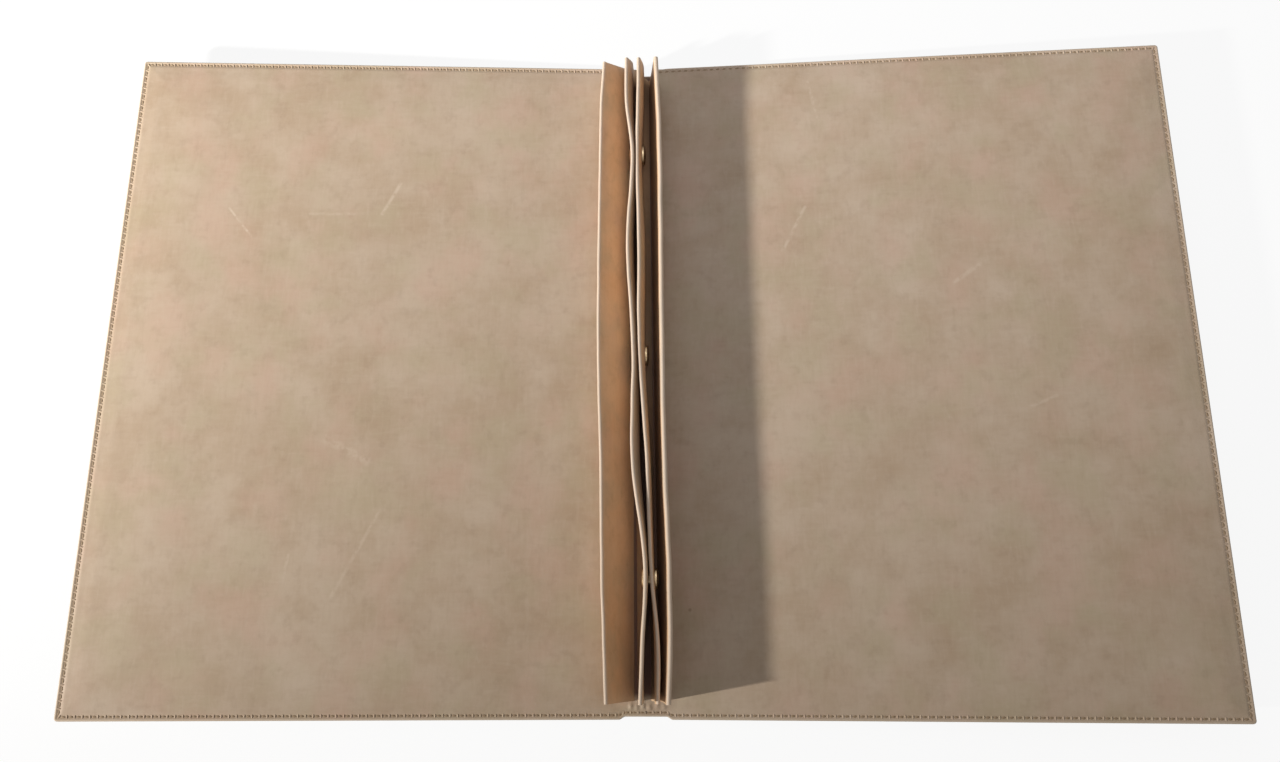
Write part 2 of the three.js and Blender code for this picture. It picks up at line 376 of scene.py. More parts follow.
class ShaderNodes:
    """The node tree of one material or world; its patterns follow place, once that is set."""

    def __init__(self, owner: bpy.types.Material | bpy.types.World) -> None:
        """Empty the owner's tree.

        Args:
            owner: Material or world to fill.
        """
        owner.use_nodes = True
        self.tree = owner.node_tree
        self.tree.nodes.clear()
        self.place: Wire | None = None

    def node(
        self,
        kind: str,
        settings: dict[str, object] | None = None,
        inputs: dict[str | int, object] | None = None,
        output: str | int = 0,
    ) -> Wire:
        """Add a node.

        Args:
            kind: Blender's type of the node.
            settings: Properties of the node, which are set first.
            inputs: Values or wires by the socket's name or number.
            output: Name or number of the output that is wanted.

        Returns:
            The output as a wire.
        """
        made = self.tree.nodes.new(kind)
        for key, value in (settings or {}).items():
            setattr(made, key, value)
        for key, value in (inputs or {}).items():
            if isinstance(value, Wire):
                self.tree.links.new(value.socket, made.inputs[key])
            else:
                made.inputs[key].default_value = value
        return Wire(self, made.outputs[output]) if made.outputs else Wire(self, None)

    def attribute(self, name: str, output: str) -> Wire:
        """A value kept on the mesh."""
        return self.node("ShaderNodeAttribute", {"attribute_name": name}, output=output)

    def stretched(self, scale: Triple, turn_deg: float = 0.0) -> Wire:
        """The place turned about Z and scaled along each axis."""
        inputs = {"Vector": self.place, "Rotation": (0.0, 0.0, math.radians(turn_deg)), "Scale": scale}
        return self.node("ShaderNodeMapping", {"vector_type": "POINT"}, inputs)

    def noise(self, cloud: Cloud) -> Wire:
        """Values of a cloudy pattern, round one half.

        Args:
            cloud: The pattern.

        Returns:
            The values as a wire.
        """
        inputs = {"Vector": self.stretched(cloud.stretch, cloud.turn_deg), "Scale": cloud.scale}
        inputs |= {"Detail": cloud.detail, "Roughness": cloud.rough, "Distortion": cloud.wander}
        return self.node("ShaderNodeTexNoise", {"noise_dimensions": "3D"}, inputs, "Fac")

    def vector_maths(self, operation: str, inputs: dict[str | int, object], output: str | int = 0) -> Wire:
        """A Vector Math node."""
        return self.node("ShaderNodeVectorMath", {"operation": operation}, inputs, output)

    def mixed(self, share: Wire | float, first: object, second: object) -> Wire:
        """A colour between two others."""
        return self.node("ShaderNodeMix", {"data_type": "RGBA"}, {0: share, 6: first, 7: second}, 2)

    def bump(self, height: Wire, depth_mm: float, strength: float) -> Wire:
        """Normals of a surface raised by height times a depth."""
        inputs = {"Height": height, "Distance": depth_mm * MM, "Strength": strength}
        return self.node("ShaderNodeBump", None, inputs)


@dataclass(frozen=True)
class Finish:
    """A finish that becomes one material; each kind fills the sockets of its surface in its own way."""

    name: str

    def material(self) -> bpy.types.Material:
        """Build the material.

        Returns:
            The finished material.
        """
        made = bpy.data.materials.new(self.name)
        nodes = ShaderNodes(made)
        nodes.place = self.place(nodes)
        shader = nodes.node("ShaderNodeBsdfPrincipled", None, self.sockets(nodes))
        nodes.node("ShaderNodeOutputMaterial", None, {"Surface": shader})
        return made

    def place(self, nodes: ShaderNodes) -> Wire:
        """Where each point lies on the uncut flat sheet, in millimetres."""
        return nodes.attribute("sheet_place", "Vector")

    def sockets(self, nodes: ShaderNodes) -> dict[str, object]:
        """Values and wires of the surface's sockets, by the socket's name."""
        raise NotImplementedError


@dataclass(frozen=True)
class Speck:
    """A small dark spot of wear, by its place on the flat sheet."""

    x: float
    y: float
    radius: float


@dataclass(frozen=True)
class Scratch:
    """A pale straight scuff on the lining, by its two ends on the flat sheet."""

    start: Pair
    end: Pair
    width: float
    strength: float


@dataclass(frozen=True)
class Leatherette(Finish):
    """Antiqued leatherette: brown clouds under pale veils, faint tints, brushed fibres, a pressed grain."""

    brown: Colour
    veil: Colour
    pink: Colour
    olive: Colour
    dark: Colour
    # Pale colour of wear on rims and of scuffs, and of the painted highlight along the strips' folds.
    edge: Colour
    # Dark brown for painted shade between the strips' feet and low on the strips' faces.
    gutter: Colour
    roughness: float = 0.6
    specular: float = 0.35
    specks: tuple[Speck, ...] = ()
    scratches: tuple[Scratch, ...] = ()
    wide: Cloud = Cloud(0.021, 7.0, 0.62, (1.0, 0.85, 1.0), 15.0)
    middling: Cloud = Cloud(0.062, 5.0, 0.6, (1.0, 1.15, 1.0), -40.0)
    wide_share: float = 0.62
    cloud_step: Pair = (0.3, 0.7)
    pink_patches: Cloud = Cloud(0.034, 3.0, 0.5, (1.1, 0.9, 1.0), 70.0)
    olive_patches: Cloud = Cloud(0.041, 3.0, 0.5, (0.9, 1.0, 1.0), -65.0)
    patch_step: Pair = (0.46, 0.7)
    patch_strength: float = 0.52
    lengthwise: Cloud = Cloud(1.0, 2.0, 0.55, (0.6, 0.1, 1.0), 9.0, 0.9)
    crosswise: Cloud = Cloud(1.0, 2.0, 0.55, (0.09, 0.5, 1.0), -14.0, 0.9)
    pale_step: Pair = (0.52, 0.74)
    pale_fibres: Pair = (0.225, 0.175)
    dark_step: Pair = (0.5, 0.3)
    dark_fibres: Pair = (0.05, 0.04)
    mottle: Cloud = Cloud(0.17, 4.0, 0.6)
    mottle_step: Pair = (0.5, 0.72)
    mottle_strength: float = 0.13
    grain: Cloud = Cloud(1.4, 3.0, 0.6)
    grain_share: float = 0.6
    pore_scale: float = 0.8
    relief: Pair = (0.07, 0.24)
    swell: Cloud = Cloud(0.03)
    gloss_change: Pair = (0.14, 0.16)
    breaks: Cloud = Cloud(0.35)
    break_step: Pair = (0.3, 0.6)
    scratch_core: float = 0.15
    speck_core: float = 0.3
    speck_strength: float = 0.55

    def sockets(self, nodes: ShaderNodes) -> dict[str, object]:
        """Values and wires of the surface's sockets.

        Args:
            nodes: The material's tree.

        Returns:
            The sockets by name.
        """
        colour = self._wear(nodes, self._fibres(nodes, self._clouds(nodes)))
        # Pale wear on the rims, and on the strips' folds a painted highlight together with wear.
        colour = nodes.mixed(nodes.attribute("wear_and_highlight", "Fac"), colour, self.edge)
        # Painted shade: the dark brown where the strips shade the lining and each other.
        colour = nodes.mixed(nodes.attribute("painted_shade", "Fac"), colour, self.gutter)
        grain, swell = nodes.noise(self.grain), nodes.noise(self.swell)
        inputs = {"Vector": nodes.place, "Scale": self.pore_scale}
        pores = nodes.node("ShaderNodeTexVoronoi", {"feature": "F1"}, inputs, "Distance")
        relief = grain * self.grain_share + pores * (1 - self.grain_share)
        fine, slow = self.gloss_change
        return {
            "Base Color": colour,
            "Roughness": self.roughness + fine * (grain - 0.5) + slow * (swell - 0.5),
            "Normal": nodes.bump(relief, *self.relief),
            "Specular IOR Level": self.specular,
        }

    def _clouds(self, nodes: ShaderNodes) -> Wire:
        """Soft clouds of two sizes, with a pink and an olive tint.

        Args:
            nodes: The material's tree.

        Returns:
            The colour.
        """
        wide, middling = nodes.noise(self.wide), nodes.noise(self.middling)
        both = self.wide_share * wide + (1 - self.wide_share) * middling
        colour = nodes.mixed(both.step(*self.cloud_step), self.brown, self.veil)
        for patches, tint in ((self.pink_patches, self.pink), (self.olive_patches, self.olive)):
            share = nodes.noise(patches).step(*self.patch_step) * self.patch_strength
            colour = nodes.mixed(share, colour, tint)
        return colour

    def _fibres(self, nodes: ShaderNodes, colour: Wire) -> Wire:
        """Short soft streaks, most of them along the spine and some across it.

        Args:
            nodes: The material's tree.
            colour: The colour under them.

        Returns:
            The colour with streaks.
        """
        along, across = nodes.noise(self.lengthwise), nodes.noise(self.crosswise)
        pale, dark = (
            strengths[0] * along.step(*step) + strengths[1] * across.step(*step)
            for strengths, step in ((self.pale_fibres, self.pale_step), (self.dark_fibres, self.dark_step))
        )
        dark = dark + self.mottle_strength * nodes.noise(self.mottle).step(*self.mottle_step)
        return nodes.mixed(dark, nodes.mixed(pale, colour, self.veil), self.dark)

    def _wear(self, nodes: ShaderNodes, colour: Wire) -> Wire:
        """Pale scuffs and dark specks at their own places.

        Args:
            nodes: The material's tree.
            colour: The colour under them.

        Returns:
            The colour with its scuffs and specks.
        """
        flat = nodes.stretched((1.0, 1.0, 0.0))
        broken = nodes.noise(self.breaks).step(*self.break_step)
        for scratch in self.scratches:
            away = self._distance_to_line(nodes, flat, scratch)
            mask = away.step(scratch.width, self.scratch_core * scratch.width) * broken * scratch.strength
            colour = nodes.mixed(mask, colour, self.edge)
        for speck in self.specks:
            away = nodes.vector_maths("DISTANCE", {0: flat, 1: (speck.x, speck.y, 0.0)}, "Value")
            mask = away.step(speck.radius, self.speck_core * speck.radius) * self.speck_strength
            colour = nodes.mixed(mask, colour, self.dark)
        return colour

    @staticmethod
    def _distance_to_line(nodes: ShaderNodes, flat: Wire, scratch: Scratch) -> Wire:
        """Distance from a scuff's middle line, with its ends rounded.

        Args:
            nodes: The material's tree.
            flat: Where each point lies on the flat sheet, without its height.
            scratch: The scuff.

        Returns:
            The distance in millimetres.
        """
        start = Vector((*scratch.start, 0.0))
        run = Vector((*scratch.end, 0.0)) - start
        away = nodes.vector_maths("SUBTRACT", {0: flat, 1: start})
        share = nodes.vector_maths("DOT_PRODUCT", {0: away, 1: tuple(run / run.length_squared)}, "Value")
        share = nodes.node("ShaderNodeMath", {"use_clamp": True, "operation": "ADD"}, {0: share, 1: 0.0})
        foot = nodes.vector_maths("SCALE", {0: tuple(run), "Scale": share})
        return nodes.vector_maths("DISTANCE", {0: away, 1: foot}, "Value")


@dataclass(frozen=True)
class Thread(Finish):
    """Matt twisted sewing thread."""

    light: Colour
    shade: Colour
    roughness: float = 0.75
    ply_scale: float = 1.1
    ply_bend: float = 1.5
    relief: Pair = (0.08, 0.6)

    def sockets(self, nodes: ShaderNodes) -> dict[str, object]:
        """Values and wires of the surface's sockets.

        Args:
            nodes: The material's tree.

        Returns:
            The sockets by name.
        """
        settings = {"wave_type": "BANDS", "bands_direction": "DIAGONAL"}
        inputs = {"Vector": nodes.place, "Detail": 1.0}
        inputs |= {"Scale": self.ply_scale, "Distortion": self.ply_bend}
        plies = nodes.node("ShaderNodeTexWave", settings, inputs, "Fac")
        colour = nodes.mixed(plies, self.shade, self.light)
        normal = nodes.bump(plies, *self.relief)
        return {"Base Color": colour, "Roughness": self.roughness, "Normal": normal}


@dataclass(frozen=True)
class PolishedBrass(Finish):
    """Turned brass with faint turning marks and a little tarnish."""

    bright: Colour
    tarnish: Colour
    tarnish_clouds: Cloud = Cloud(0.5, 4.0, 0.6)
    tarnish_step: Pair = (0.4, 0.7)
    tarnish_strength: float = 0.7
    turning_marks: Cloud = Cloud(1.0, 3.0, stretch=(6.0, 0.6, 0.6))
    roughness: Pair = (0.22, 0.25)
    relief: Pair = (0.03, 0.3)

    def sockets(self, nodes: ShaderNodes) -> dict[str, object]:
        """Values and wires of the surface's sockets.

        Args:
            nodes: The material's tree.

        Returns:
            The sockets by name.
        """
        cloud, marks = nodes.noise(self.tarnish_clouds), nodes.noise(self.turning_marks)
        dull = cloud.step(*self.tarnish_step) * self.tarnish_strength
        return {
            "Base Color": nodes.mixed(dull, self.bright, self.tarnish),
            "Metallic": 1.0,
            "Roughness": self.roughness[0] + self.roughness[1] * cloud,
            "Normal": nodes.bump(marks, *self.relief),
        }


@dataclass(frozen=True)
class Greyboard(Finish):
    """Pressed grey board with flecks of fibre."""

    ground: Colour
    fleck: Colour
    fibres: Cloud = Cloud(1.0, 4.0, 0.7, (900.0, 250.0, 900.0), 15.0)
    fleck_step: Pair = (0.5, 0.75)
    roughness: float = 0.9
    relief: Pair = (0.1, 0.4)

    def place(self, nodes: ShaderNodes) -> Wire:
        """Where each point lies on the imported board, in metres."""
        return nodes.node("ShaderNodeTexCoord", output="Object")

    def sockets(self, nodes: ShaderNodes) -> dict[str, object]:
        """Values and wires of the surface's sockets.

        Args:
            nodes: The material's tree.

        Returns:
            The sockets by name.
        """
        fibres = nodes.noise(self.fibres)
        colour = nodes.mixed(fibres.step(*self.fleck_step), self.ground, self.fleck)
        normal = nodes.bump(fibres, *self.relief)
        return {"Base Color": colour, "Roughness": self.roughness, "Normal": normal}


@dataclass(frozen=True)
class SheetGrid:
    """Points of a side's flat sheet: distance from the spine's middle, Y, and depth inside the outline."""

    side: Side
    u: np.ndarray
    y: np.ndarray
    depth: np.ndarray

    @property
    def x(self) -> np.ndarray:
        """X of each point in the flat case."""
        return self.side.value * self.u


@dataclass
class Case:
    """The sewn leatherette case: lining over boards, outer wrap under them, and the gutters between."""

    lining: bpy.types.Material
    wrap: bpy.types.Material
    bend: HingeBend
    outer_x: float = 256.65
    half_height: float = 160.5
    corner_radius: float = 1.5
    seam_top: float = 3.1
    join_height: float = 0.97
    join_line: float = 0.03
    lining_thickness: float = 0.65
    seam_margin: float = 2.6
    spine_foot: float = 9.3
    spine_rise: float = 0.3
    panel_foot: float = 12.5
    panel_rise: float = 0.9
    steep_run: float = 8.0
    gentle_run: float = 30.0
    steep_share: float = 0.3
    closed_edge: Pair = (1.6, 3.6)
    board_corner: float = 3.0
    stitch_inset: float = 2.0
    stitch_groove: float = 0.4
    groove_width: float = 0.95
    rim_radius: float = 1.0
    rim_rubbed: float = 0.6
    rim_rub: Pair = (1.2, 0.8)
    swell: float = 0.16
    swell_waves: tuple[Triple, Triple] = ((45.0, 60.0, 3.1), (19.0, 24.0, 7.7))
    swell_run: float = 20.0
    calm_edge: Pair = (3.0, 8.0)
    gutter_hollow: float = 0.3
    hollow_reach: float = 2.6
    gutter_fill: float = 0.12
    fill_reach: float = 4.5
    spine_reach: float = 12.0
    ease_run: float = 3.0
    spine_short_near: float = 1.3
    spine_short_far: float = 0.3
    far_notch: float = 4.0
    notch_x: Pair = (-4.0, 7.0)
    end_reach: float = 9.0
    tucks: tuple[Triple, ...] = (
        (-6.6, -155.4, 0.6),
        (-4.0, -155.9, 0.5),
        (-1.2, -155.2, 0.6),
        (1.6, -155.8, 0.5),
        (5.0, -154.6, 0.4),
        (8.0, -155.4, 0.3),
    )
    tuck_size: Pair = (0.95, 1.8)
    # Painted shade on the lining between the strips' feet: how far it reaches across, where it ends near
    # and far, and how strong it is at most.
    painted_shade_x: Pair = (4.6, 7.0)
    painted_shade_near: Pair = (149.0, 152.0)
    painted_shade_far: Pair = (158.6, 160.4)
    painted_shade_most: float = 0.92
    across_steps: tuple[Pair, ...] = ((6.5, 0.6), (14.9, 0.25), (18.0, 0.5), (30.0, 2.0))
    edge_steps: tuple[Pair, ...] = ((-14.0, 4.0), (-7.0, 0.9), (-0.8, 0.34), (0.0, 0.15))

    def build(self) -> None:
        """Make the lining and the wrap of both sides."""
        for side in Side:
            inside = self._sheet(side, Face.INSIDE, f"{side.label}_lining_skin")
            outside = self._sheet(side, Face.OUTSIDE, f"{side.label}_wrap_skin")
            spine = side is Side.FRONT
            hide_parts(f"{side.label}_lining", *(["spine_lining"] if spine else []))
            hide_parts(f"{side.label}_outer_wrap", *(["spine_outer_wrap"] if spine else []))
            log.info("%s and %s made", inside.name, outside.name)

    def finish_of(self, face: Face) -> tuple[bpy.types.Material, str]:
        """Material and slot of the sheet on one face."""
        inside = face is Face.INSIDE
        return (self.lining, "lining_leatherette") if inside else (self.wrap, "outer_leatherette")

    def at_rest(self, flat: np.ndarray, side: Side) -> np.ndarray:
        """Points of the flat case, drawn in at the spine's ends and turned up to the open cover's rest.

        Args:
            flat: Rows of distance from the spine's middle, Y and Z.
            side: The cover that they belong to.

        Returns:
            The same points in the row frame.
        """
        points = flat.copy()
        near_spine = smoothstep((self.spine_reach - points[:, 0]) / self.ease_run)
        from_end = self.half_height - np.abs(points[:, 1])
        near_end = smoothstep((self.end_reach - from_end) / self.end_reach)
        x, (left, right) = side.value * points[:, 0], self.notch_x
        notch = smoothstep((x - left) / self.ease_run) * smoothstep((right - x) / self.ease_run)
        far = self.spine_short_far + self.far_notch * notch
        short = np.where(points[:, 1] < 0, self.spine_short_near, far)
        points[:, 1] -= np.sign(points[:, 1]) * short * near_spine * near_end
        return self.bend.at_rest(points, side)

    @property
    def _gutter_middle(self) -> float:
        """Distance of the gutter's middle from the spine's."""
        return (self.spine_foot + self.panel_foot) / 2

    def _sheet(self, side: Side, face: Face, name: str) -> bpy.types.Object:
        """One sheet from the middle of the spine to a cover's outer edge.

        Args:
            side: The cover that it belongs to.
            face: Inside for the lining, outside for the wrap.
            name: Name of the piece.

        Returns:
            The piece.
        """
        material, slot = self.finish_of(face)
        across, along = self._grid_lines()
        grid = self._rounded(side, *(line.ravel() for line in np.meshgrid(across, along, indexing="ij")))
        heights = self._inside_heights(grid) if face is Face.INSIDE else self._outside_heights(grid)
        flat = np.concatenate([np.column_stack([grid.u, grid.y, height]) for height in heights])
        faces = sheet_faces(len(across), len(along))
        body = ClosedBody(name)
        body.add(self.at_rest(flat, side), faces if side is Side.BACK else turned_over(faces))
        rim = self.rim_rubbed * smoothstep((self.rim_rub[0] - grid.depth) / self.rim_rub[1])
        # Painted shade: dark brown on the lining between the strips' feet, on the inside only.
        shade_share = self._painted_shade_mask(grid) if face is Face.INSIDE else np.zeros_like(rim)
        sheet = flat * np.array([side.value, 1.0, 1.0])
        piece = body.make(material, slot, sheet=sheet, wear_and_highlight_share=np.tile(rim, 2), painted_shade=np.tile(shade_share, 2))
        self.bend.blend(piece, side)
        return piece

    def _painted_shade_mask(self, grid: SheetGrid) -> np.ndarray:
        """Painted shade on the lining between the feet of the standing strips, where they shade it."""
        limits = ((grid.u, self.painted_shade_x), (-grid.y, self.painted_shade_near), (grid.y, self.painted_shade_far))
        return self.painted_shade_most * math.prod(smoothstep((b - at) / (b - a)) for at, (a, b) in limits)

    def _grid_lines(self) -> tuple[np.ndarray, np.ndarray]:
        """Grid lines, closest at the seams, shoulders and gutter.

        Returns:
            Distances from the spine's middle, and places along the spine.
        """
        edge_x, edge_y = (
            [(edge + offset, spacing) for offset, spacing in self.edge_steps]
            for edge in (self.outer_x, self.half_height)
        )
        upper = graded_line(0.0, edge_y)
        return graded_line(0.0, [*self.across_steps, *edge_x]), np.concatenate([-upper[:0:-1], upper])

    def _rounded(self, side: Side, u: np.ndarray, y: np.ndarray) -> SheetGrid:
        """Round the outer corners of the grid.

        Args:
            side: The cover that it belongs to.
            u: Distances from the spine's middle.
            y: Places along the spine.

        Returns:
            The points of the flat sheet.
        """
        r = self.corner_radius
        du, dy = u - (self.outer_x - r), np.abs(y) - (self.half_height - r)
        corner = (du > 0) & (dy > 0)
        reach = np.hypot(du, dy)
        factor = np.where(corner, np.maximum(du, dy) / np.maximum(reach, 1e-9), 1.0)
        moved_u = np.where(corner, self.outer_x - r + du * factor, u)
        moved_y = np.where(corner, np.sign(y) * (self.half_height - r + dy * factor), y)
        straight = np.minimum(self.outer_x - u, self.half_height - np.abs(y))
        return SheetGrid(side, moved_u, moved_y, np.where(corner, r - reach * factor, straight))

    def _shoulder(self, grid: SheetGrid, low: float, high: float) -> np.ndarray:
        """How far the lining has climbed over a board.

        Args:
            grid: Points of the flat sheet.
            low: Where the board's round-cornered foot begins, from the spine's middle.
            high: Where it ends.

        Returns:
            Shares from 0 at the foot to 1.
        """
        du = np.minimum(grid.u - low, high - grid.u)
        dy = self.half_height - self.seam_margin - np.abs(grid.y)
        r = self.board_corner
        d = np.where((du < r) & (dy < r), r - np.hypot(r - du, r - dy), np.minimum(du, dy))
        gentle = smoothstep(d / self.gentle_run)
        return self.steep_share * smoothstep(d / self.steep_run) + (1 - self.steep_share) * gentle

    def _rise(self, grid: SheetGrid) -> np.ndarray:
        """Height of the lining over the seam, where it climbs over the boards.

        Args:
            grid: Points of the flat sheet.

        Returns:
            The heights.
        """
        spine = self.spine_rise * self._shoulder(grid, -self.spine_foot, self.spine_foot)
        panel = self.panel_rise * self._shoulder(grid, self.panel_foot, self.outer_x - self.seam_margin)
        ends = smoothstep((self.half_height - np.abs(grid.y) - self.seam_margin) / self.steep_run)
        fill = smoothstep(1.0 - np.abs(grid.u - self._gutter_middle) / self.fill_reach)
        return np.maximum(spine + panel, self.gutter_fill * ends * fill)

    def _edge_drop(self, depth: np.ndarray) -> np.ndarray:
        """How far a face rounds over at the cut edge and sinks where the thread pulls it in.

        Args:
            depth: How far inside the outline each point is.

        Returns:
            The drops.
        """
        r = self.rim_radius
        rim = r - np.sqrt(np.maximum(r * r - np.maximum(r - depth, 0.0) ** 2, 0.0))
        return rim + self.stitch_groove * np.exp(-(((depth - self.stitch_inset) / self.groove_width) ** 2))

    def _swelling(self, grid: SheetGrid) -> np.ndarray:
        """Slow unevenness of the glued sheet over its board."""
        wide, close = (unevenness(grid.x, grid.y, waves) for waves in self.swell_waves)
        return self.swell * (wide + 0.5 * close) * smoothstep((grid.u - self.panel_foot) / self.swell_run)

    def _tucks(self, grid: SheetGrid) -> np.ndarray:
        """Small puckers of the lining round the ends of the standing strips.

        Args:
            grid: Points of the flat sheet.

        Returns:
            Their heights.
        """
        wide, long = self.tuck_size
        height = np.zeros_like(grid.u)
        for x, y, rise in self.tucks:
            height += rise * np.exp(-(((grid.x - x) / wide) ** 2) - ((grid.y - y) / long) ** 2)
        return height

    def _inside_heights(self, grid: SheetGrid) -> tuple[np.ndarray, np.ndarray]:
        """Heights of the lining.

        Args:
            grid: Points of the flat sheet.

        Returns:
            Its top and its bottom.
        """
        base = self.seam_top + self._rise(grid)
        start, end = self.closed_edge
        hollow = smoothstep((grid.depth - start) / (end - start))
        bottom = self.join_height + (base - self.lining_thickness - self.join_height) * hollow
        calm, run = self.calm_edge
        top = base + self._swelling(grid) * smoothstep((grid.depth - calm) / run) + self._tucks(grid)
        return top - self._edge_drop(grid.depth), bottom

    def _outside_heights(self, grid: SheetGrid) -> tuple[np.ndarray, np.ndarray]:
        """Heights of the outer wrap.

        Args:
            grid: Points of the flat sheet.

        Returns:
            Its top and its bottom.
        """
        hollow = smoothstep(1.0 - np.abs(grid.u - self._gutter_middle) / self.hollow_reach)
        bottom = self._edge_drop(grid.depth) + self.gutter_hollow * hollow
        return np.full_like(grid.u, self.join_height - self.join_line), bottom


@dataclass(frozen=True)
class RowPlace:
    """A place on the sewn row of the flat cover: its middle, the way that the row runs, and the face."""

    at: np.ndarray
    way: np.ndarray
    face: Face

    @property
    def left(self) -> np.ndarray:
        """The way across the row, to its left."""
        return np.array([-self.way[1], self.way[0]])


@dataclass
class EdgeStitching:
    """The sewn row round the case: sunk thread on both faces and the puckers between the stitches."""

    thread: bpy.types.Material
    case: Case
    pitch: float = 3.3
    length: float = 2.6
    thread_radius: float = 0.8
    thread_sides: int = 8
    thread_steps: int = 7
    tip_share: float = 0.55
    swell_power: float = 0.5
    arch_power: float = 0.6
    flatness: float = 0.8
    lift: float = 0.02
    sink: float = 0.2
    slant_deg: float = 9.0
    pucker_width: float = 0.42
    pucker_length: float = 1.45
    pucker_cover: float = 0.04
    pucker_root: float = 0.25
    pucker_sides: int = 12
    pucker_rings: int = 4
    turn_radius: float = 1.2

    def build(self) -> None:
        """Make the thread and the puckers of both sides and both faces."""
        for side in Side:
            for face in Face:
                self._row(side, face)

    def _row(self, side: Side, face: Face) -> None:
        """One U-shaped row from spine end to spine end.

        Args:
            side: The cover that it is on.
            face: The face that it shows on.
        """
        thread_piece = self._pieces(side, face, "stitches", self.thread, "thread")
        self._pieces(side, face, "puckers", *self.case.finish_of(face))
        if face is Face.INSIDE:
            ends = ["near_spine_stitching", "far_spine_stitching"] if side is Side.FRONT else []
            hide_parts(f"{side.label}_edge_stitching", *ends)
        log.info("%s made", thread_piece.name)

    def _pieces(
        self, side: Side, face: Face, word: str, material: bpy.types.Material, slot: str
    ) -> bpy.types.Object:
        """All stitches or all puckers of a row, brought to rest with the cover.

        Args:
            side: The cover that they are on.
            face: The face that they show on.
            word: Either stitches or puckers.
            material: Their finish.
            slot: Material slot of the finish.

        Returns:
            The piece.
        """
        make, shift = (self._stitch, 0.5) if word == "stitches" else (self._pucker, 0.0)
        body = ClosedBody(f"{side.label}_{face.name.lower()}_{word}")
        for place in self._places(face, shift):
            points, faces = make(place)
            body.add(points, faces if side.value * face.value > 0 else turned_over(faces))
        flat = np.concatenate(body.points)
        body.points = [self.case.at_rest(flat, side)]
        piece = body.make(material, slot, sheet=flat * np.array([side.value, 1.0, 1.0]))
        self.case.bend.blend(piece, side)
        return piece

    def _places(self, face: Face, shift: float) -> list[RowPlace]:
        """Places along the row, from the near spine end on.

        Args:
            face: The face that the row shows on.
            shift: How far into its pitch each place is.

        Returns:
            One place for each stitch.
        """
        r, inset = self.turn_radius, self.case.stitch_inset
        far_x, far_y = self.case.outer_x - inset, self.case.half_height - inset
        turn = (math.pi / 2 * r, 1 / r)
        legs = [(far_x - r, 0.0), turn, (2 * (far_y - r), 0.0), turn, (far_x - r, 0.0)]
        total = sum(length for length, _ in legs)
        count = round(total / self.pitch)
        start = np.array([0.0, -far_y])
        return [self._on_row(start, legs, (i + shift) * total / count, face) for i in range(count)]

    @staticmethod
    def _on_row(start: np.ndarray, legs: list[Pair], run: float, face: Face) -> RowPlace:
        """The place at a length along the row.

        Args:
            start: Where the row starts, running outwards.
            legs: Length of each leg and how sharply it bends to the left.
            run: The length along the row.
            face: The face that the row shows on.

        Returns:
            The place.
        """
        at, heading = start, 0.0
        for length, bend in legs:
            part = min(run, length)
            turned = heading + part * bend
            if bend:
                arc = (math.sin(turned) - math.sin(heading), math.cos(heading) - math.cos(turned))
                at = at + np.array(arc) / bend
            else:
                at = at + part * np.array([math.cos(heading), math.sin(heading)])
            heading, run = turned, run - part
        return RowPlace(at, np.array([math.cos(heading), math.sin(heading)]), face)

    def _groove_floor(self, face: Face) -> float:
        """Height of the groove's floor."""
        groove = self.case.stitch_groove
        return self.case.seam_top - groove if face is Face.INSIDE else groove

    def _stitch(self, place: RowPlace) -> tuple[np.ndarray, Faces]:
        """A stitch as a tube that arches out of one hole and into the next.

        Args:
            place: Its place on the row.

        Returns:
            Its points in the flat cover and its faces.
        """
        sides, steps = self.thread_sides, self.thread_steps
        slant = math.radians(self.slant_deg)
        along = place.way * math.cos(slant) + place.left * math.sin(slant)
        across = np.array([-along[1], along[0]])
        rows = []
        for k in range(steps + 1):
            arch = math.sin(math.pi * k / steps)
            radius = self.thread_radius * (self.tip_share + (1 - self.tip_share) * arch**self.swell_power)
            middle = place.at + along * (k / steps - 0.5) * self.length
            height = (self.lift + self.sink) * arch**self.arch_power - self.sink
            height -= 0.5 * self.thread_radius
            for angle in np.arange(sides) * 2 * math.pi / sides:
                flat = middle + across * radius * math.cos(angle)
                up = place.face.value * (height + self.flatness * radius * math.sin(angle))
                rows.append((*flat, self._groove_floor(place.face) + up))
        faces = [(a, d, c, b) for a, b, c, d in ring_faces(steps + 1, sides)]
        faces.append(tuple(range(sides)))
        faces.append(tuple(steps * sides + j for j in reversed(range(sides))))
        return np.array(rows), faces

    def _pucker(self, place: RowPlace) -> tuple[np.ndarray, Faces]:
        """A small pillow of leatherette that bridges the groove between two stitches.

        Args:
            place: Its place on the row.

        Returns:
            Its points in the flat cover and its faces.
        """
        sides, rings = self.pucker_sides, self.pucker_rings
        floor = self._groove_floor(place.face) - place.face.value * self.pucker_root
        height = self.case.stitch_groove + self.pucker_root - self.pucker_cover
        rows = []
        for lean in np.arange(rings) * math.pi / 2 / rings:
            for angle in np.arange(sides) * 2 * math.pi / sides:
                wide = place.way * self.pucker_width * math.cos(angle)
                long = place.left * self.pucker_length * math.sin(angle)
                flat = place.at + math.cos(lean) * (wide + long)
                rows.append((*flat, floor + place.face.value * height * math.sin(lean)))
        rows.append((*place.at, floor + place.face.value * height))
        last = rings * sides
        faces = ring_faces(rings, sides)
        faces += [(last - sides + j, last - sides + (j + 1) % sides, last) for j in range(sides)]
        faces.append(tuple(reversed(range(sides))))
        return np.array(rows), faces


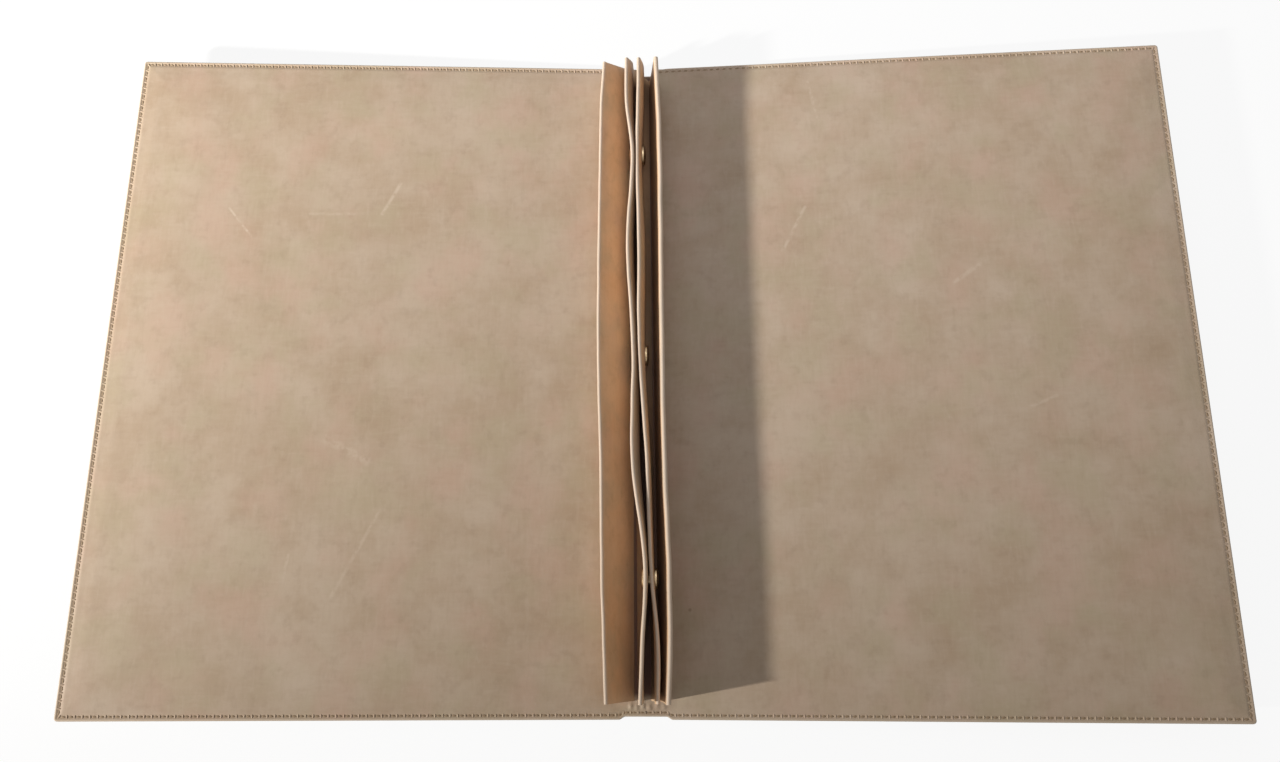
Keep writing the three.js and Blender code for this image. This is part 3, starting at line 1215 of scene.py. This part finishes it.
@dataclass
class PostRow:
    """Where the binding posts stand, shared by the strips that they clamp."""

    pitch: float = 103.0
    centre_y: float = 3.0
    height: float = 12.4
    slot_middles: Triple = (2.05, -2.0, -3.35)
    page_slot: float = 1.0
    leaf_thickness: float = 1.7
    barrel_diameter: float = 5.0
    head_diameter: float = 9.5
    head_thickness: float = 1.8
    head_gap: float = 0.12

    @property
    def places(self) -> list[float]:
        """Y of each post from near to far."""
        return [self.centre_y + step * self.pitch for step in (-1, 0, 1)]

    @property
    def half_grip(self) -> float:
        """Half of the length between a post's two heads."""
        return self.page_slot / 2 + self.leaf_thickness + self.head_gap

    def clamped(self, index: int, side: int) -> float:
        """X of a strip's middle where a post holds it."""
        return self.slot_middles[index] + side * (self.page_slot + self.leaf_thickness) / 2


@dataclass
class StandingStrip:
    """A strip of leatherette folded over at its top edge and glued down at its foot.

    foot holds X at the near and far end; waist and top hold X at nine stations from near to far; lower is
    how much narrower the strip is at each station; far_slant is how far the foot runs past the top at the
    far end.
    """

    name: str
    posts: PostRow
    foot: Pair
    waist: tuple[float, ...]
    top: tuple[float, ...]
    lower: tuple[float, ...] = (0.0,) * 9
    far_slant: float = 0.0
    slant_reach: float = 14.0
    thickness: float = 1.7
    side: int = 0
    width: float = 22.3
    floor: float = 3.12
    half_length: float = 152.5
    layer_gap: float = 0.08
    flare: float = 0.3
    flare_height: float = 1.0
    lean_power: float = 1.5
    fold_steps: int = 8
    ripple: float = 0.16
    ripple_length: float = 14.0
    sag: float = 0.12
    sag_length: float = 23.0
    # The fold's top is painted paler: a painted highlight along the lit fold, with some wear.
    fold_rubbed: float = 0.75
    fold_rub: Pair = (2.0, 3.0)
    # Where the painted shade stops short of the strip's ends.
    unshaded_end: Pair = (1.0, 3.0)
    sheet_shift: float = 40.0
    sharp_deg: float = 50.0
    # Painted shade on each face of the strip, darkest at the foot and fading up to this height.
    painted_shade_left: float = 0.5
    painted_shade_right: float = 0.75
    painted_shade_height: float = 17.0
    steps: int = 170
    levels: int = 16

    @property
    def stations(self) -> list[float]:
        """Y of the ends, the posts and the places halfway between them."""
        fixed = [-self.half_length, *self.posts.places, self.half_length]
        return sorted(fixed + [(a + b) / 2 for a, b in zip(fixed, fixed[1:])])

    def _rail(self, values: Sequence[float], y: np.ndarray) -> np.ndarray:
        """A smooth line through one value per station.

        Args:
            values: The values from near to far.
            y: Places along the spine.

        Returns:
            The line's value at each place.
        """
        stations, values = np.array(self.stations), np.array(values, float)
        slopes = np.gradient(values, stations)
        i = np.clip(np.searchsorted(stations, y) - 1, 0, len(stations) - 2)
        gap = stations[i + 1] - stations[i]
        t = (y - stations[i]) / gap
        start = (1 + 2 * t) * (1 - t) ** 2 * values[i] + t * (1 - t) ** 2 * gap * slopes[i]
        end = t * t * (3 - 2 * t) * values[i + 1] + t * t * (t - 1) * gap * slopes[i + 1]
        return start + end

    def _middle_line(self, foot: float, waist: float, top: float, height: float) -> np.ndarray:
        """Points from the foot to the fold, straight where a post's heads hold the strip.

        Args:
            foot: X of the foot.
            waist: X at the height of the posts.
            top: X of the fold.
            height: Height of the fold over the foot.

        Returns:
            Rows of X and Z.
        """
        share = np.linspace(0.0, 1.0, self.levels)
        rise = self.posts.height - self.floor
        z = share * height
        if self.side:
            grip = self.posts.head_diameter / 2
            below = smoothstep(z / (rise - grip))
            above = np.clip((z - rise - grip) / (height - rise - grip), 0.0, 1.0) ** self.lean_power
            x = foot + (waist - foot) * below + (top - waist) * above
        else:
            w = rise / height
            through_foot = foot * (share - w) * (share - 1) / w
            through_waist = waist * share * (share - 1) / (w * (w - 1))
            x = through_foot + through_waist + top * share * (share - w) / (1 - w)
        return np.column_stack([x, self.floor + z])

    def _wrapped(self, line: np.ndarray) -> list[np.ndarray]:
        """Wrap the folded sheet round a middle line, from foot over the fold to foot.

        Args:
            line: Rows of X and Z from the foot to the fold.

        Returns:
            The sheet's inner and outer face.
        """
        layer = (self.thickness - self.layer_gap) / 2
        tangent = np.gradient(line, axis=0)
        tangent /= np.linalg.norm(tangent, axis=1)[:, None]
        normal = np.column_stack([-tangent[:, 1], tangent[:, 0]])
        up = line[:, 1] - self.floor
        spread = self.flare * np.clip(1 - up / self.flare_height, 0.0, 1.0)[:, None] ** 2
        turns = np.linspace(0.0, math.pi, self.fold_steps + 1)[1:-1]
        fold = np.array([normal[-1] * math.cos(a) + tangent[-1] * math.sin(a) for a in turns])
        faces = []
        for reach in (self.layer_gap / 2, self.layer_gap / 2 + layer):
            left, right = (line + way * normal * (reach + spread) for way in (1, -1))
            faces.append(np.concatenate([left, line[-1] + fold * reach, right[::-1]]))
        return faces

    def _painted_shade_mask(self, points: np.ndarray, columns: int) -> np.ndarray:
        """Painted shade on the strip, darkest at its foot and fading upwards, where the neighbouring strips
        shade it.

        Args:
            points: Its points, row after row.
            columns: Points in a row, from the left foot to the right one.

        Returns:
            Shares from 0 to 1.
        """
        low = smoothstep(1.0 - (points[:, 2] - self.floor) / self.painted_shade_height)
        unshaded, run = self.unshaded_end
        within = smoothstep((self.half_length - unshaded - np.abs(points[:, 1])) / run)
        on_left = np.tile(np.arange(columns) < columns / 2, len(points) // columns)
        return np.where(on_left, self.painted_shade_left, self.painted_shade_right) * low * within

    def build(self, material: bpy.types.Material) -> bpy.types.Object:
        """Make the strip.

        Args:
            material: Leatherette of the strips.

        Returns:
            The piece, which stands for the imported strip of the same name.
        """
        y = np.linspace(-self.half_length, self.half_length, self.steps + 1)
        foot = np.interp(y, [-self.half_length, self.half_length], self.foot)
        waist, top, lower = (self._rail(values, y) for values in (self.waist, self.top, self.lower))
        near, far = (np.full_like(y, end) for end in self.foot)
        top = top + self.ripple * unevenness(y, near, (self.ripple_length, 1.0, 0.0))
        width = self.width - lower + self.sag * unevenness(y, far, (self.sag_length, 1.0, 5.0))
        height = np.sqrt(width**2 - (top - foot) ** 2)
        lean = self.far_slant * smoothstep((y - self.half_length) / self.slant_reach + 1.0)
        inner, outer = [], []
        for i, place in enumerate(y):
            faces = self._wrapped(self._middle_line(foot[i], waist[i], top[i], height[i]))
            for rows, face in zip((inner, outer), faces):
                level = np.clip((face[:, 1] - self.floor) / height[i], 0.0, 1.0)
                rows.append(np.column_stack([face[:, 0], place + lean[i] * (1.0 - level), face[:, 1]]))
        columns, points = len(inner[0]), np.concatenate(outer + inner)
        body = ClosedBody(f"{self.name}_folded_leaf")
        body.add(points, turned_over(sheet_faces(len(y), columns)))
        from_fold = np.abs(np.arange(columns) - (columns - 1) / 2)
        # Painted highlight with wear: paler colour along the fold's top.
        start, run = self.fold_rub
        wear_and_highlight = np.tile(self.fold_rubbed * smoothstep(1.0 - (from_fold - start) / run), 2 * len(y))
        along = np.cumsum(np.linalg.norm(np.diff(outer[0], axis=0, prepend=outer[0][:1]), axis=1))
        along = np.tile(along, 2 * len(y)) + self.sheet_shift * self.foot[0]
        sheet, shade_share = np.column_stack([along, points[:, 1:]]), self._painted_shade_mask(points, columns)
        piece = body.make(material, "strip_leatherette", sheet, wear_and_highlight, shade_share, self.sharp_deg)
        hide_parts(self.name)
        return piece


@dataclass
class Binding:
    """The strips along the spine and the brass posts through the two inner ones."""

    leather: bpy.types.Material
    brass: bpy.types.Material
    posts: PostRow = field(default_factory=PostRow)
    barrel_clearance: float = 0.15
    shank_diameter: float = 3.0
    slot_width: float = 1.0
    slot_depth: float = 0.5
    rim_share: float = 0.45
    dome_steps_deg: tuple[float, ...] = (20, 40, 58, 72, 82)
    bore_clearance: float = 0.1
    barrel_floor: float = 0.6
    tip_gap: float = 1.0
    tip_chamfer: Pair = (0.3, 0.4)
    drill_reach: float = 2.0
    slot_overrun: float = 0.5
    sides: int = 48

    def build(self) -> None:
        """Make the four strips and the three posts."""
        self._inner_strips()
        self._flaps()
        for index, y in enumerate(self.posts.places):
            self._post(index, y)
            self._screw(index, y)

    def _inner_strips(self) -> None:
        """The strips that the posts clamp on either side of the pages."""
        hold = self.posts.clamped
        left = StandingStrip(
            name="left_post_strip",
            posts=self.posts,
            side=-1,
            foot=(-2.4, -5.2),
            waist=(-1.6, -1.2, hold(0, -1), -2.9, hold(1, -1), -6.0, hold(2, -1), -6.2, -6.4),
            top=(-1.8, -0.9, 0.4, -5.2, -5.0, -7.6, -5.8, -8.4, -8.5),
            far_slant=6.0,
        )
        right = StandingStrip(
            name="right_post_strip",
            posts=self.posts,
            side=1,
            foot=(3.6, 1.1),
            waist=(4.9, 4.7, hold(0, 1), 1.9, hold(1, 1), -0.5, hold(2, 1), -1.2, -0.9),
            top=(5.6, 5.5, 3.1, 1.2, -2.1, -2.3, -3.2, -2.8, -2.5),
            lower=(4.0, 3.6, 3.0, 1.6, 0.3, 0.0, 0.0, 0.0, 0.0),
            # Less painted shade on its right face, low down.
            painted_shade_right=0.4,
            painted_shade_height=14.0,
        )
        for strip in (left, right):
            piece = strip.build(self.leather)
            self._drill(piece, strip.side)
            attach(piece, "spine")
            log.info("%s made", piece.name)

    def _flaps(self) -> None:
        """The outer strips."""
        left = StandingStrip(
            name="left_screw_flap",
            posts=self.posts,
            foot=(-6.0, -7.4),
            waist=(-11.4, -12.0, -12.6, -13.2, -14.0, -14.3, -14.1, -14.0, -13.4),
            top=(-16.4, -17.5, -18.5, -19.5, -21.2, -21.4, -21.1, -20.9, -19.7),
            far_slant=6.5,
            # Painted shade only low on its right face.
            painted_shade_left=0.0,
            painted_shade_right=0.3,
            painted_shade_height=5.0,
        )
        right = StandingStrip(
            name="right_screw_flap",
            posts=self.posts,
            foot=(7.3, 3.5),
            waist=(8.9, 9.1, 9.0, 7.7, 6.9, 6.5, 5.9, 5.4, 4.7),
            top=(10.1, 11.0, 10.8, 9.1, 8.3, 8.0, 7.7, 7.0, 6.0),
            thickness=2.1,
            # Painted shade over nearly the whole left face, which the inner strips shade.
            painted_shade_left=0.82,
            painted_shade_right=0.0,
            painted_shade_height=26.0,
        )
        for strip, hinge, anchor_x, keep in (
            (left, "front_hinge", -8.9, 0.06),
            (right, "back_hinge", 5.5, 0.55),
        ):
            piece = strip.build(self.leather)
            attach(piece, "spine")
            anchor_x * MM
            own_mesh(piece)
            log.info("%s made", piece.name)

    def _drill(self, piece: bpy.types.Object, side: int) -> None:
        """Cut the post holes through an inner strip.

        Args:
            piece: The strip.
            side: -1 for the strip left of the pages, 1 for the right one.
        """
        radius, reach = self.posts.barrel_diameter / 2 + self.barrel_clearance, self.drill_reach
        profile = [(0.0, -reach), (radius, -reach), (radius, reach), (0.0, reach)]
        for index, y in enumerate(self.posts.places):
            x = self.posts.clamped(index, side)
            cut_away(piece, self._turned("post_hole_cutter", profile, x, y, sharp_deg=180.0))

    def _turned(
        self, name: str, profile: Sequence[Pair], x: float, y: float, sharp_deg: float = 35.0
    ) -> bpy.types.Object:
        """A piece turned about a post's axis.

        Args:
            name: Name of the piece.
            profile: Pairs of radius and place along the axis, from the axis back to the axis.
            x: X of the profile's origin.
            y: Y of the axis.
            sharp_deg: Edges with a wider angle than this stay sharp.

        Returns:
            The piece, with its axis along X.
        """
        sides, z = self.sides, self.posts.height
        turns = [2 * math.pi * j / sides for j in range(sides)]
        points = [(x + profile[0][1], y, z)]
        for radius, along in profile[1:-1]:
            points += [(x + along, y + radius * math.cos(a), z + radius * math.sin(a)) for a in turns]
        points.append((x + profile[-1][1], y, z))
        last = len(points) - 1
        faces = [(0, 1 + (j + 1) % sides, 1 + j) for j in range(sides)]
        faces += ring_faces(len(profile) - 2, sides, first=1)
        faces += [(last - sides + j, last - sides + (j + 1) % sides, last) for j in range(sides)]
        body = ClosedBody(name)
        body.add(np.array(points), faces)
        return body.make(self.brass, "brass", sharp_deg=sharp_deg)

    def _head(self, start: float, outward: int) -> list[Pair]:
        """The domed head's profile.

        Args:
            start: Place of its flat underside along the axis.
            outward: Which way along the axis it faces.

        Returns:
            Pairs of radius and place along the axis, from the rim to the middle.
        """
        radius, thick, rim = self.posts.head_diameter / 2, self.posts.head_thickness, self.rim_share
        dome = [
            (radius * math.cos(a), start + outward * thick * (rim + (1 - rim) * math.sin(a)))
            for a in map(math.radians, self.dome_steps_deg)
        ]
        edge = [(radius, start), (radius, start + outward * rim * thick)]
        return [*edge, *dome, (0.0, start + outward * thick)]

    def _post(self, index: int, y: float) -> None:
        """The hollow barrel with its head on the left.

        Args:
            index: Number of the post from near to far, counted from 0.
            y: Y of its axis.
        """
        end, floor = self.posts.half_grip - self.bore_clearance, -self.posts.half_grip + self.barrel_floor
        barrel, bore = self.posts.barrel_diameter / 2, self.shank_diameter / 2 + self.bore_clearance
        head = self._head(-self.posts.half_grip, -1)
        inside = [(barrel, -self.posts.half_grip), (barrel, end), (bore, end), (bore, floor), (0.0, floor)]
        profile = [*reversed(head), *inside]
        piece = self._turned(f"post_{index + 1}_barrel", profile, self.posts.slot_middles[index], y)
        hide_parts(f"binding_post_{index + 1}")
        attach(piece, "spine")

    def _screw(self, index: int, y: float) -> None:
        """The slotted screw on the right.

        Args:
            index: Number of the post from near to far, counted from 0.
            y: Y of its axis.
        """
        posts, shank = self.posts, self.shank_diameter / 2
        tip, (narrow, slope) = self.tip_gap - posts.half_grip, self.tip_chamfer
        shaft = [(0.0, tip), (shank - narrow, tip), (shank, tip + slope), (shank, posts.half_grip)]
        profile = [*shaft, *self._head(posts.half_grip, 1)]
        piece = self._turned(f"post_{index + 1}_slotted_screw", profile, posts.slot_middles[index], y)
        top = posts.slot_middles[index] + posts.half_grip + posts.head_thickness
        middle = np.array([top, y, posts.height])
        half = np.array([self.slot_depth, posts.head_diameter / 2 + self.slot_overrun, self.slot_width / 2])
        cut_away(piece, box_body("screw_slot_cutter", middle - half, middle + half, self.brass))
        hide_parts(f"post_screw_{index + 1}")
        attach(piece, "spine")
        log.info("post %d made", index + 1)


def box_body(
    name: str, lows: np.ndarray, highs: np.ndarray, material: bpy.types.Material
) -> bpy.types.Object:
    """A plain box between two corners, for cutting.

    Args:
        name: Name of the object.
        lows: Lowest corner in millimetres.
        highs: Highest corner in millimetres.
        material: Finish that the cut face takes.

    Returns:
        The box.
    """
    body = ClosedBody(name)
    corners = [[(lows, highs)[(i >> axis) & 1][axis] for axis in range(3)] for i in range(8)]
    faces = [(0, 2, 3, 1), (4, 5, 7, 6), (0, 1, 5, 4), (2, 6, 7, 3), (0, 4, 6, 2), (1, 3, 7, 5)]
    body.add(np.array(corners), faces)
    return body.make(material, "brass", sharp_deg=35)


def cut_away(piece: bpy.types.Object, cutter: bpy.types.Object) -> None:
    """Cut one closed object out of another and remove the cutter.

    Args:
        piece: The object that keeps the rest.
        cutter: The object whose volume goes.
    """
    modifier = piece.modifiers.new("cut", "BOOLEAN")
    modifier.operation = "DIFFERENCE"
    modifier.solver = "EXACT"
    modifier.object = cutter
    bpy.context.view_layer.update()
    evaluated = piece.evaluated_get(bpy.context.evaluated_depsgraph_get())
    mesh = bpy.data.meshes.new_from_object(evaluated)
    piece.modifiers.clear()
    old = piece.data
    piece.data = mesh
    bpy.data.meshes.remove(old)
    bpy.data.objects.remove(cutter)


@dataclass(frozen=True)
class SoftLamp:
    """A flat lamp that faces along its aim, round where both its sizes are the same."""

    name: str
    place: Triple
    aim: Triple
    size: Pair
    watts: float
    colour: Triple

    def build(self) -> None:
        """Hang the lamp."""
        data = bpy.data.lights.new(self.name, "AREA")
        data.shape = "DISK" if self.size[0] == self.size[1] else "RECTANGLE"
        data.size, data.size_y = (length * MM for length in self.size)
        data.energy, data.color = self.watts, self.colour
        turn = (-Vector(self.aim)).to_track_quat("Z", "Y").to_matrix().to_4x4()
        add_object(self.name, data).matrix_world = Matrix.Translation(Vector(self.place) * MM) @ turn


@dataclass
class Studio:
    """Camera, floor and plain soft light."""

    camera_place: Triple = (10.03, -119.73, 451.96)
    camera_right: Triple = (0.99961, -0.00055, -0.02804)
    camera_up: Triple = (0.00736, 0.96991, 0.24337)
    focal_px: float = 969.2
    frame_px: float = 1280.0
    sensor_mm: float = 36.0
    clip_m: Pair = (0.01, 20.0)
    key: SoftLamp = SoftLamp(
        name="key_lamp",
        place=(-927.031, -337.102, 439.745),
        aim=(0.127, 0.965, 0.227),
        size=(82.0, 82.0),
        watts=49.0,
        colour=(1.0, 0.976, 0.93),
    )
    fill: SoftLamp = SoftLamp(
        name="fill_lamp",
        place=(14.0, 224.0, 507.0),
        aim=(386.0, 376.0, -507.0),
        size=(500.0, 350.0),
        watts=1.17,
        colour=(0.95, 0.985, 1.08),
    )
    ambient: float = 0.218
    ambient_colour: Colour = (1.0, 0.965, 0.91, 1.0)
    white: Colour = (1.0, 1.0, 1.0, 1.0)
    floor_colour: Colour = (0.86, 0.86, 0.86, 1.0)
    floor_glow: float = 0.9
    floor_size: float = 6000.0

    def build(self) -> None:
        """Set up the view and the light."""
        self._camera()
        self._floor()
        self._world()
        self.key.build()
        self.fill.build()
        bpy.context.scene.view_settings.view_transform = "Standard"

    def _camera(self) -> None:
        """The camera at the photograph's place and angle."""
        data = bpy.data.cameras.new("camera")
        data.sensor_width = self.sensor_mm
        data.lens = self.focal_px / self.frame_px * self.sensor_mm
        data.clip_start, data.clip_end = self.clip_m
        camera = add_object("camera", data)
        right, up = Vector(self.camera_right).normalized(), Vector(self.camera_up)
        back = right.cross(up).normalized()
        rotation = Matrix((right, back.cross(right), back)).transposed().to_4x4()
        camera.matrix_world = Matrix.Translation(Vector(self.camera_place) * MM) @ rotation
        bpy.context.scene.camera = camera

    @staticmethod
    def _seen_directly(nodes: ShaderNodes) -> Wire:
        """Tell what is looked at from what lights the object.

        Args:
            nodes: Tree of the floor's material or of the world.

        Returns:
            1 for the camera's own rays, reflections and what shows through glass, 0 for other light.
        """
        kinds = ("Camera", "Glossy", "Transmission")
        rays = [nodes.node("ShaderNodeLightPath", output=f"Is {kind} Ray") for kind in kinds]
        return rays[0].larger(rays[1]).larger(rays[2])

    def _floor(self) -> None:
        """A white floor that keeps part of the object's shadow."""
        made = bpy.data.materials.new("white_floor")
        nodes = ShaderNodes(made)
        plain = nodes.node("ShaderNodeBsdfDiffuse", None, {"Color": self.floor_colour})
        glow = nodes.node("ShaderNodeEmission", None, {"Color": self.white, "Strength": 1.0})
        share = self._seen_directly(nodes) * self.floor_glow
        both = nodes.node("ShaderNodeMixShader", None, {0: share, 1: plain, 2: glow})
        nodes.node("ShaderNodeOutputMaterial", None, {"Surface": both})
        corners = np.array([(-1, -1, 0), (1, -1, 0), (1, 1, 0), (-1, 1, 0)]) * self.floor_size / 2
        mesh = bpy.data.meshes.new("floor")
        mesh.from_pydata((corners * MM).tolist(), [], [(0, 1, 2, 3)])
        mesh.materials.append(made)
        floor = add_object("floor", mesh)

    def _world(self) -> None:
        """White where it is seen, softer where it lights the object."""
        world = bpy.data.worlds.new("soft_room")
        nodes = ShaderNodes(world)
        seen = self._seen_directly(nodes)
        strength = self.ambient + seen * (1.0 - self.ambient)
        tint = nodes.mixed(seen, self.ambient_colour, self.white)
        light = nodes.node("ShaderNodeBackground", None, {"Color": tint, "Strength": strength})
        nodes.node("ShaderNodeOutputWorld", None, {"Surface": light})
        bpy.context.scene.world = world


SCUFFS = (
    Scratch(start=(-205.1, 79.4), end=(-193.2, 64.8), width=0.8, strength=0.7),
    Scratch(start=(-130.1, 77.2), end=(-121.8, 94.0), width=1.3, strength=0.5),
    Scratch(start=(-141.8, -108.7), end=(-122.1, -69.3), width=1.3, strength=0.3),
    Scratch(start=(-163.4, -100.3), end=(-161.7, -89.3), width=1.1, strength=0.35),
    Scratch(start=(-148.8, -36.0), end=(-129.6, -46.2), width=3.2, strength=0.35),
    Scratch(start=(-165.4, 76.8), end=(-143.8, 77.0), width=1.2, strength=0.25),
    Scratch(start=(83.4, 148.1), end=(87.1, 128.2), width=1.1, strength=0.35),
    Scratch(start=(79.1, 79.5), end=(67.5, 56.8), width=1.2, strength=0.4),
    Scratch(start=(148.0, 38.3), end=(160.4, 47.0), width=1.6, strength=0.35),
    Scratch(start=(176.8, -23.3), end=(189.8, -17.9), width=1.2, strength=0.3),
)


def dress_boards(frame: dict, material: bpy.types.Material) -> None:
    """Give the hidden boards their finish.

    Args:
        frame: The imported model.
        material: Finish of the boards.
    """
    for name in ("front_board", "spine_board", "back_board"):
        mesh = frame["nodes"][name].data
        mesh.materials.clear()
        mesh.materials.append(material)


def finishes() -> dict[str, bpy.types.Material]:
    """Make every finish once.

    Returns:
        The materials by a short name.
    """
    tan = {
        "brown": srgb(170, 147, 123),
        "veil": srgb(188, 169, 149),
        "pink": srgb(188, 158, 139),
        "olive": srgb(174, 159, 132),
        "dark": srgb(128, 102, 80),
        "edge": srgb(205, 188, 168),
        # Dark brown of the painted shade between and on the standing strips.
        "gutter": srgb(80, 43, 26),
    }
    # The strips' edge colour is the painted highlight on their folds.
    strip = tan | {"brown": srgb(204, 166, 128), "veil": srgb(215, 183, 148), "edge": srgb(206, 190, 174)}
    speck = Speck(x=20.1, y=-113.5, radius=1.1)
    return {
        "lining": Leatherette("lining_leatherette", **tan, specks=(speck,), scratches=SCUFFS).material(),
        "wrap": Leatherette("outer_leatherette", **tan, roughness=0.56).material(),
        "strip": Leatherette("strip_leatherette", **strip, roughness=0.58).material(),
        "thread": Thread("brown_thread", srgb(158, 135, 108), srgb(130, 108, 84)).material(),
        "brass": PolishedBrass("polished_brass", srgb(198, 174, 138), srgb(96, 74, 54)).material(),
        "board": Greyboard("greyboard", srgb(150, 144, 132), srgb(118, 112, 102)).material(),
    }


def main() -> None:
    """Build the looks of the whole cover in order."""
    logging.basicConfig(level=logging.INFO, format="%(message)s")
    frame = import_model()
    Studio().build()
    made = finishes()
    bend = HingeBend()
    case = Case(lining=made["lining"], wrap=made["wrap"], bend=bend)
    case.build()
    EdgeStitching(thread=made["thread"], case=case).build()
    Binding(leather=made["strip"], brass=made["brass"]).build()
    dress_boards(frame, made["board"])
    log.info("sizes written")


if __name__ == "__main__":
    main()
